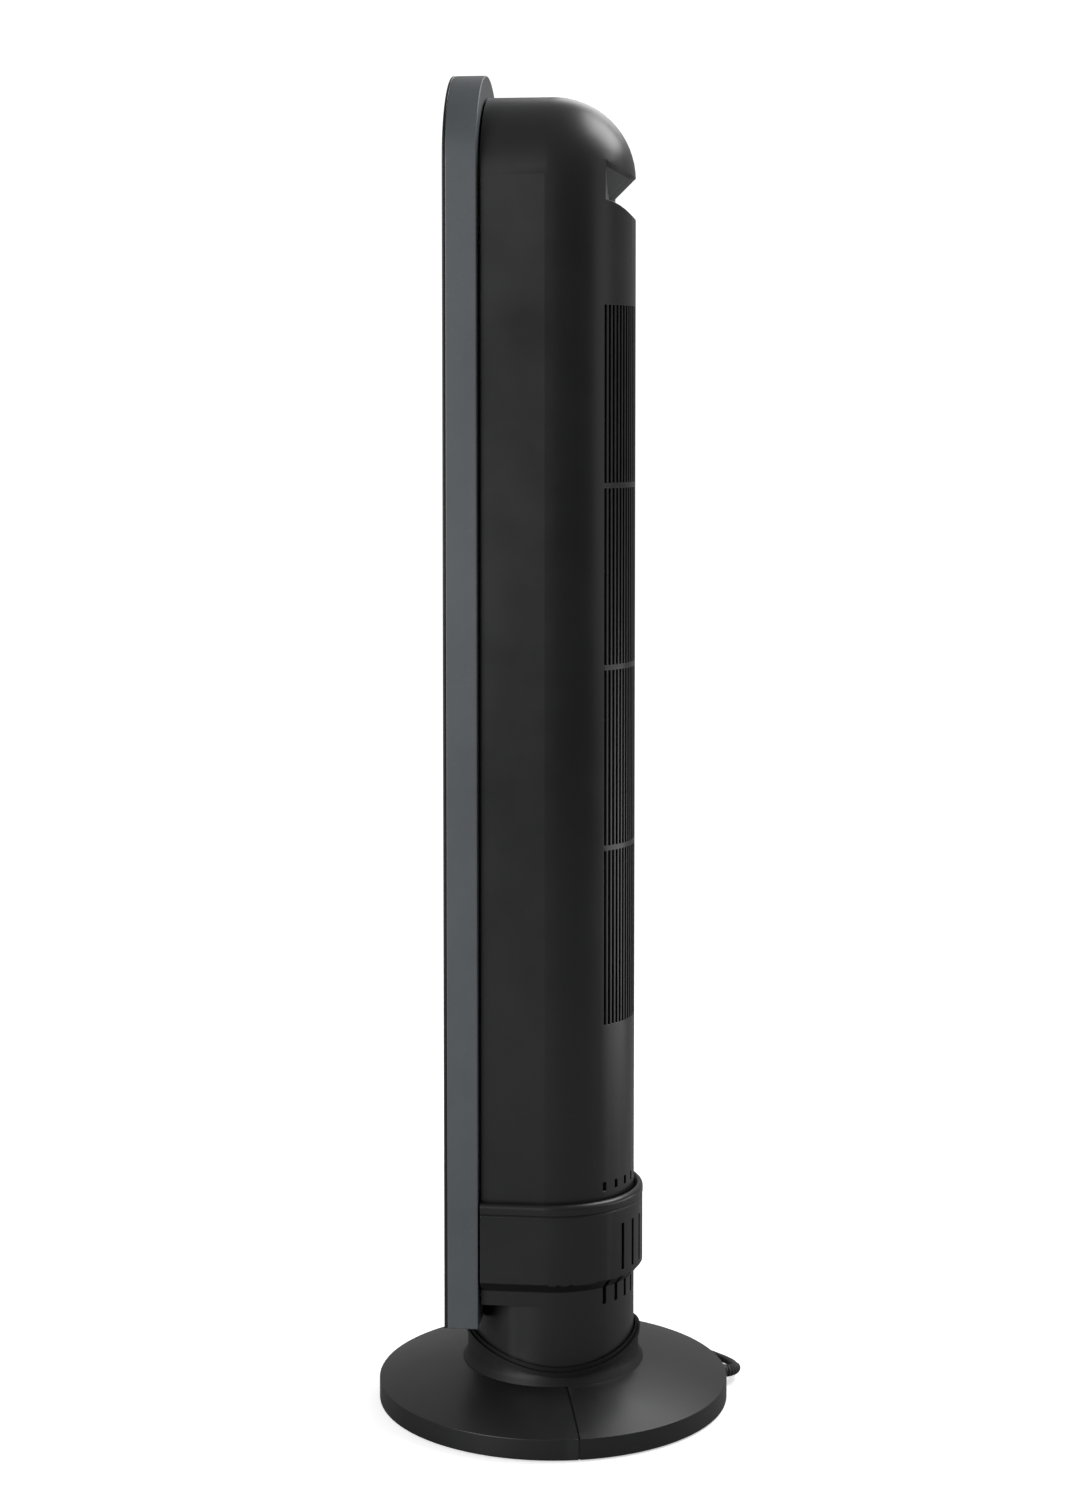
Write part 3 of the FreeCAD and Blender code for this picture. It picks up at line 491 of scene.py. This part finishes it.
def rubbery(name, colour, roughness, weave=0.0):
    """Soft PVC or rubber with a dull bloom; weave adds loop pile ribs of that pitch in millimetres."""
    material, tree, shader = new_material(name)
    place = object_place(tree)
    bloom = noise(tree, place, 70, 5, 0.65)
    base = ramp(tree, bloom, [(0.35, shade(colour, 0.85)), (0.75, shade(colour, 1.5))])
    tree.links.new(base, shader.inputs["Base Color"])
    rough = map_range(tree, bloom, 0.3, 0.7, roughness - 0.06, roughness + 0.08)
    tree.links.new(rough, shader.inputs["Roughness"])
    fine = noise(tree, place, 1600, 2)
    if weave:
        inputs = {"Vector": place, "Scale": 1 / (weave * MM)}
        fine = add(tree, "ShaderNodeTexVoronoi", inputs).outputs["Distance"]
    bump(tree, shader, fine, (0.15 if weave else 0.01) * MM)
    shader.inputs["Sheen Weight"].default_value = 0.15 if weave else 0.03
    return material


def circuit_board(name):
    material, tree, shader = new_material(name)
    place = object_place(tree)
    inputs = {"Vector": place, "Scale": 260.0, "Color1": (1, 1, 1, 1), "Color2": (0.6, 0.6, 0.6, 1)}
    tracks = add(tree, "ShaderNodeTexBrick", inputs).outputs["Fac"]
    stain = noise(tree, place, 40, 3)
    base = ramp(tree, stain, [(0.3, (0.01, 0.11, 0.035)), (0.7, (0.016, 0.16, 0.05))])
    base = blend_colour(tree, tracks, base, (0.03, 0.24, 0.09))
    tree.links.new(base, shader.inputs["Base Color"])
    tree.links.new(map_range(tree, stain, 0.3, 0.7, 0.25, 0.4), shader.inputs["Roughness"])
    bump(tree, shader, tracks, 0.03 * MM)
    return material


def lit(name, colour, strength):
    """A lamp behind printed film, slightly uneven."""
    material, tree, shader = new_material(name)
    place = object_place(tree)
    glow = noise(tree, place, 300, 2)
    base = ramp(tree, glow, [(0.3, shade(colour, 0.85)), (0.7, colour)])
    tree.links.new(base, shader.inputs["Base Color"])
    tree.links.new(base, shader.inputs["Emission Color"])
    shader.inputs["Emission Strength"].default_value = strength
    shader.inputs["Roughness"].default_value = 0.35
    bump(tree, shader, glow, 0.002 * MM)
    return material


SHELL = (0.0110, 0.0112, 0.0116)


def make_materials():
    """One material for each slot of the record, a few for printed marks, and a lighter and a darker copy
    of the shell that paint a reflection and shade.
    """
    return {
        "black_shell": moulded("satin_black_shell", SHELL, 0.34, wear=2.2),
        # darker copy of the shell with weaker reflections: painted shade on the collar, standing in for
        # the shadow under the tower
        "collar_painted_shade_black": moulded(
            "collar_painted_shade_black", shade(SHELL, 0.7), 0.5, 0.8, 0.008, wear=1.6, Specular_IOR_Level=0.25
        ),
        # seven times lighter than the shell: painted reflection of light from behind and below on the
        # handle recess
        "grip_painted_reflection_black": moulded("grip_painted_reflection_black", shade(SHELL, 7), 0.48, 0.6, 0.014, wear=1.8),
        "base_black": moulded("satin_black_base", shade(SHELL, 0.95), 0.34, 0.8, 0.008, wear=2.4),
        "grey_frame": moulded("dark_grey_frame", (0.078, 0.086, 0.094), 0.46, 0.7, 0.010, wear=1.5),
        "grille_black": moulded("satin_black_grille", shade(SHELL, 0.85), 0.36, 0.8, 0.008, wear=2.4),
        "panel_black": gloss_black("gloss_black_panel"),
        "display": smoked_window("smoked_window"),
        "key_grey": moulded("satin_grey_key", (0.23, 0.24, 0.25), 0.38, 0.5, 0.006, wear=1.3),
        "inner_plastic": moulded("plain_inner_plastic", (0.045, 0.045, 0.047), 0.55, 1.1, 0.02),
        "rotor_plastic": moulded("rotor_plastic", (0.022, 0.022, 0.024), 0.48, 1.0, 0.015),
        "gear_plastic": moulded("natural_acetal", (0.72, 0.70, 0.63), 0.36, 0.7, 0.006, wear=1.1),
        "steel": metal("bright_steel", (0.62, 0.62, 0.63), 0.30),
        "motor_steel": metal("zinc_plated_steel", (0.50, 0.51, 0.52), 0.38, (60, 60, 300)),
        "bronze": metal("sintered_bronze", (0.50, 0.33, 0.15), 0.46, (500, 500, 500), 0.01),
        "rubber": rubbery("dull_rubber", (0.018, 0.018, 0.018), 0.72),
        "cord_black": rubbery("cord_pvc", (0.016, 0.016, 0.017), 0.48),
        "board_green": circuit_board("solder_mask"),
        "brass_blade": metal("plug_brass", (0.72, 0.55, 0.28), 0.26, (900, 60, 60)),
        "strap": rubbery("loop_strap", (0.020, 0.020, 0.022), 0.85, weave=0.5),
        "print": moulded("printed_grey", (0.42, 0.43, 0.44), 0.5, 0.4, 0.002, wear=1.0),
        "glow": lit("display_glow", (0.55, 0.85, 1.0), 2.2),
        "lamp": lit("lamp_glow", (0.25, 0.9, 0.35), 1.6),
    }


# the radius that a node's sharp edges are rounded to, in millimetres
EDGES = {
    "base_rear_half": 0.6,
    "base_front_half": 0.6,
    "base_collar": 0.35,
    "lower_housing": 0.45,
    "vent_band": 0.45,
    "rear_housing": 0.4,
    "handle_cup": 0.5,
    "front_frame": 1.3,
    "front_fascia": 0.7,
    "front_grille": 0.4,
    "control_panel": 0.35,
    "display_window": 0.2,
    "rubber_feet": 0.5,
    "plug_blades": 0.3,
}


# nodes painted apart from the rest of their slot: the handle cup is a lighter copy of the shell (a painted
# reflection) and the collar a darker copy (painted shade)
PAINTED_LIGHT_LOOKS = {"handle_cup": "grip_painted_reflection_black", "base_collar": "collar_painted_shade_black"}


def dress_frame(materials):
    """Materials and rounded edges for the CAD nodes."""
    for part in frame["record"]["subparts"]:
        item = frame["nodes"][part["node"]]
        look = PAINTED_LIGHT_LOOKS.get(part["node"], part["material_slot"])
        for slot in item.material_slots:
            slot.material = materials[look]
        if part["node"] in EDGES:
            soft_edges(item, EDGES[part["node"]] * MM)


# ---- buttons, printed marks and display ----

def facing_front(x, y, z):
    """A place whose Z axis points out of the front, towards -Y."""
    return Matrix.Translation((x, y, z)) @ Matrix.Rotation(math.radians(90), 4, "X")


STEM_RADIUS = 2 * MM
CAP_HEIGHT = 5.8 * MM
FLANGE_STEP = 1.3 * MM
FLANGE_THICK = 1 * MM
RIM_WIDTH = 1.3 * MM
DISH_DEPTH = 0.6 * MM
DISH_RINGS = 5


def make_buttons(material):
    """Caps with a dished top and a rounded rim, on the flange and stem that the switch needs."""
    for key in KEYS:
        low, high = corners(f"{key}_button")
        middle = (low + high) / 2
        flange = (high.x - low.x) / 2
        cap = flange - FLANGE_STEP
        top = high.y - low.y
        step = top - CAP_HEIGHT
        back = step - FLANGE_THICK
        profile = [(STEM_RADIUS, 0), (STEM_RADIUS, back), (flange, back), (flange, step)]
        profile += [(cap, step + 0.1 * MM), (cap, top - 0.7 * MM), (cap - 0.2 * MM, top - 0.2 * MM)]
        profile += [(cap - 0.7 * MM, top), (cap - RIM_WIDTH, top - 0.05 * MM)]
        for k in range(1, DISH_RINGS):
            share = k / DISH_RINGS
            dip = DISH_DEPTH * math.sin(share * math.pi / 2)
            profile.append(((cap - RIM_WIDTH) * (1 - share), top - dip))
        mesh = bmesh.new()
        lathe_into(mesh, profile, facing_front(middle.x, high.y, middle.z))
        button = piece_from(f"{key}_cap", mesh)
        finished(button, material, f"{key}_key", [f"{key}_button"])


def flat_into(mesh, outline, x, z, y, thick=0.12 * MM):
    """A thin raised shape on the front, from (across, up) points round its place."""
    back = ring_of(mesh, [(x + across, y, z + up) for across, up in outline])
    front = ring_of(mesh, [(x + across, y - thick, z + up) for across, up in outline])
    bridge(mesh, back, front)
    mesh.faces.new(back[::-1])
    mesh.faces.new(front)


FULL_TURN = 359.9


def arc_band(radius, width, start, end, count=24):
    """A band along an arc, in degrees, as an outline."""
    outer = []
    inner = []
    for k in range(count + 1):
        angle = math.radians(start + (end - start) * k / count)
        outer.append(((radius + width / 2) * math.cos(angle), (radius + width / 2) * math.sin(angle)))
        inner.append(((radius - width / 2) * math.cos(angle), (radius - width / 2) * math.sin(angle)))
    return outer + inner[::-1]


def bar(x0, z0, x1, z1, width):
    """A straight stroke as an outline."""
    way = Vector((x1 - x0, z1 - z0)).normalized() * (width / 2)
    side = Vector((-way.y, way.x))
    ends = [(x0 - way.x, z0 - way.y), (x1 + way.x, z1 + way.y)]
    first = [(x + side.x, z + side.y) for x, z in ends]
    second = [(x - side.x, z - side.y) for x, z in ends[::-1]]
    return first + second


def icon_shapes(key):
    """The generic sign of a button, about 4 mm across."""
    stroke = 0.45 * MM
    radius = 1.9 * MM
    if key == "power":
        return [arc_band(radius, stroke, 125, 415), bar(0, 0.6 * MM, 0, 2.3 * MM, stroke)]
    if key == "timer":
        hands = [bar(0, 0, 0, 1.2 * MM, stroke), bar(0, 0, 0.9 * MM, 0, stroke)]
        return [arc_band(radius, stroke, 0, FULL_TURN, 40)] + hands
    if key == "speed":
        return [arc_band(0.5 * MM, 0.5 * MM, 0, FULL_TURN)] + [leaf(90 + 120 * k) for k in range(3)]
    arrow = [arc_band(2.4 * MM, stroke, 40, 140)]
    for side in (-1, 1):
        tip = Vector((side * 2.3 * MM, 1.0 * MM))
        outer = (tip.x - side * 0.2 * MM, tip.y + 1.4 * MM)
        inner = (tip.x - side * 1.3 * MM, tip.y + 0.5 * MM)
        arrow.append([(tip.x, tip.y), outer, inner])
    return arrow


def leaf(angle):
    """One blade of the fan sign."""
    turn = math.radians(angle)
    points = []
    for k in range(16):
        way = 2 * math.pi * k / 16
        x = 1.35 * MM + 0.85 * MM * math.cos(way)
        z = 0.5 * MM * math.sin(way)
        points.append((x * math.cos(turn) - z * math.sin(turn), x * math.sin(turn) + z * math.cos(turn)))
    return points


SIGN_RISE = 9.2 * MM
RING_RADIUS = 6.4 * MM
RING_WIDTH = 0.3 * MM


def make_marks(material):
    """Printed signs above the buttons and a fine ring round each one."""
    for key in KEYS:
        low, high = corners(f"{key}_button")
        x = (low.x + high.x) / 2
        z = (low.z + high.z) / 2
        mesh = bmesh.new()
        for outline in icon_shapes(key):
            flat_into(mesh, outline, x, z + SIGN_RISE, FRONT)
        flat_into(mesh, arc_band(RING_RADIUS, RING_WIDTH, 0, FULL_TURN, 64), x, z, FRONT)
        marks = piece_from(f"{key}_sign", mesh, smooth=False)
        finished(marks, material, "tower")


SEGMENTS_OF = {2: "abged", 4: "fgbc"}
PRINT_THICK = 0.06 * MM
FIGURE_HEIGHT = 11 * MM
FIGURE_WIDTH = 6 * MM
FIGURE_OFFSET = 5.2 * MM
LAMP_SPACING = 6 * MM
LAMP_DROP = 7.6 * MM


def digit_shapes(number, height, width):
    """A seven-segment figure as a list of outlines."""
    stroke = height * 0.13
    half = height / 2
    side = width / 2
    inset = stroke * 0.75
    places = {
        "a": (-side + inset, half, side - inset, half),
        "g": (-side + inset, 0, side - inset, 0),
        "d": (-side + inset, -half, side - inset, -half),
        "f": (-side, inset, -side, half - inset),
        "b": (side, inset, side, half - inset),
        "e": (-side, -half + inset, -side, -inset),
        "c": (side, -half + inset, side, -inset),
    }
    return [bar(*places[letter], stroke * 0.8) for letter in SEGMENTS_OF[number]]


def make_display(glow, lamp):
    """Two glowing figures with a degree ring, and a row of small lamps below them."""
    low, high = DISPLAY
    middle = (low + high) / 2
    mesh = bmesh.new()
    for number, x in ((2, -FIGURE_OFFSET), (4, FIGURE_OFFSET)):
        for outline in digit_shapes(number, FIGURE_HEIGHT, FIGURE_WIDTH):
            flat_into(mesh, outline, middle.x + x, middle.z + 1 * MM, low.y, PRINT_THICK)
    degree = arc_band(1 * MM, 0.5 * MM, 0, FULL_TURN)
    flat_into(mesh, degree, middle.x + 11.5 * MM, middle.z + 6.2 * MM, low.y, PRINT_THICK)
    figures = piece_from("display_figures", mesh, smooth=False)
    finished(figures, glow, "tower")
    mesh = bmesh.new()
    for k in range(3):
        shape = arc_band(0.35 * MM, 0.7 * MM, 0, FULL_TURN, 20)
        x = middle.x + (k - 1) * LAMP_SPACING
        flat_into(mesh, shape, x, middle.z - LAMP_DROP, low.y, PRINT_THICK)
    lamps = piece_from("speed_lamps", mesh, smooth=False)
    finished(lamps, lamp, "tower")


# ---- floor and lights ----

FLOOR_RADIUS = 2.4
LIGHTS = [
    # name, place, aim, width, height, watts
    ("key_softbox", (-0.8, 1.4, 2.4), (0, 0, 0.9), 1.3, 1.3, 40),
    ("far_softbox", (-1.6, 0.3, 1.9), (0, 0, 0.1), 0.9, 0.9, 6),
    ("rear_softbox", (0.5, 2.3, 1.0), (0, 0, 0.4), 1.0, 1.4, 3.5),
    ("floor_bounce", (-0.3, 1.3, 0.1), (0, 0.05, 0.95), 1.0, 0.8, 5),
    ("front_fill", (2.5, -1.9, 1.1), (0, 0, 0.4), 1.6, 2.0, 84),
]


def make_floor():
    """A pale disc that fades into the backdrop; light and reflections meet a darker one."""
    mesh = bmesh.new()
    bmesh.ops.create_circle(mesh, cap_ends=True, segments=96, radius=FLOOR_RADIUS)
    data = bpy.data.meshes.new("floor")
    mesh.to_mesh(data)
    mesh.free()
    floor = bpy.data.objects.new("floor", data)
    bpy.context.scene.collection.objects.link(floor)
    material, tree, shader = new_material("pale_floor")
    place = object_place(tree)
    away = add(tree, "ShaderNodeVectorMath", {0: place}, operation="LENGTH").outputs["Value"]
    solid = map_range(tree, away, 0.3 * FLOOR_RADIUS, 0.9 * FLOOR_RADIUS, 1.0, 0.0)
    tree.links.new(solid, shader.inputs["Alpha"])
    shader.inputs["Base Color"].default_value = (0.9, 0.9, 0.9, 1)
    shader.inputs["Roughness"].default_value = 0.9
    shader.inputs["Specular IOR Level"].default_value = 0.0
    shader.inputs["Emission Color"].default_value = (1, 1, 1, 1)
    shader.inputs["Emission Strength"].default_value = 0.55
    dim = add(tree, "ShaderNodeBsdfDiffuse", {"Color": (0.3, 0.3, 0.3, 1)})
    seen = add(tree, "ShaderNodeLightPath").outputs["Is Camera Ray"]
    mixed = add(tree, "ShaderNodeMixShader", {"Fac": seen})
    tree.links.new(dim.outputs[0], mixed.inputs[1])
    tree.links.new(shader.outputs[0], mixed.inputs[2])
    tree.links.new(mixed.outputs[0], tree.nodes["Material Output"].inputs["Surface"])
    data.materials.append(material)


def make_lights():
    for name, place, aim, width, height, watts in LIGHTS:
        data = bpy.data.lights.new(name, "AREA")
        data.shape = "RECTANGLE"
        data.size = width
        data.size_y = height
        data.energy = watts
        light = bpy.data.objects.new(name, data)
        bpy.context.scene.collection.objects.link(light)
        light.location = place
        way = Vector(aim) - Vector(place)
        light.rotation_mode = "QUATERNION"
        light.rotation_quaternion = way.to_track_quat("-Z", "Y")


def make_world():
    """White behind the fan, and a dark room with a paler far wall for light and reflections."""
    world = bpy.data.worlds.new("studio")
    bpy.context.scene.world = world
    world.use_nodes = True
    tree = world.node_tree
    tree.nodes.clear()
    seen = add(tree, "ShaderNodeBackground", {"Color": (1, 1, 1, 1), "Strength": 1.1})
    place = add(tree, "ShaderNodeTexCoord").outputs["Generated"]
    parts = add(tree, "ShaderNodeSeparateXYZ", {"Vector": place})
    far_wall = ramp(tree, map_range(tree, parts.outputs["X"], 1, -1, 0, 1), [(0.45, 0.0), (0.9, 0.22)])
    height = map_range(tree, parts.outputs["Z"], -1, 1, 0, 1)
    room = ramp(tree, height, [(0.3, 0.05), (0.5, 0.08), (0.9, 0.24)])
    both = add(tree, "ShaderNodeMix", data_type="RGBA", blend_type="ADD")
    sockets = [item for item in both.inputs if item.type == "RGBA"]
    tree.links.new(room, sockets[0])
    tree.links.new(far_wall, sockets[1])
    both.inputs["Factor"].default_value = 1.0
    total = next(item for item in both.outputs if item.type == "RGBA")
    lighting = add(tree, "ShaderNodeBackground", {"Color": total, "Strength": 1.0})
    ray = add(tree, "ShaderNodeLightPath").outputs["Is Camera Ray"]
    mixed = add(tree, "ShaderNodeMixShader", {"Fac": ray})
    tree.links.new(lighting.outputs[0], mixed.inputs[1])
    tree.links.new(seen.outputs[0], mixed.inputs[2])
    output = add(tree, "ShaderNodeOutputWorld")
    tree.links.new(mixed.outputs[0], output.inputs["Surface"])


aim_camera()
looks = make_materials()
boot = make_boot(looks["cord_black"])
plug_grip = make_plug(looks["cord_black"])
strap = make_tie(looks["strap"])
make_cord(looks["cord_black"])
dress_frame(looks)
make_buttons(looks["key_grey"])
make_marks(looks["print"])
make_display(looks["glow"], looks["lamp"])
make_floor()
make_lights()
make_world()
bpy.context.scene.view_settings.view_transform = "Standard"
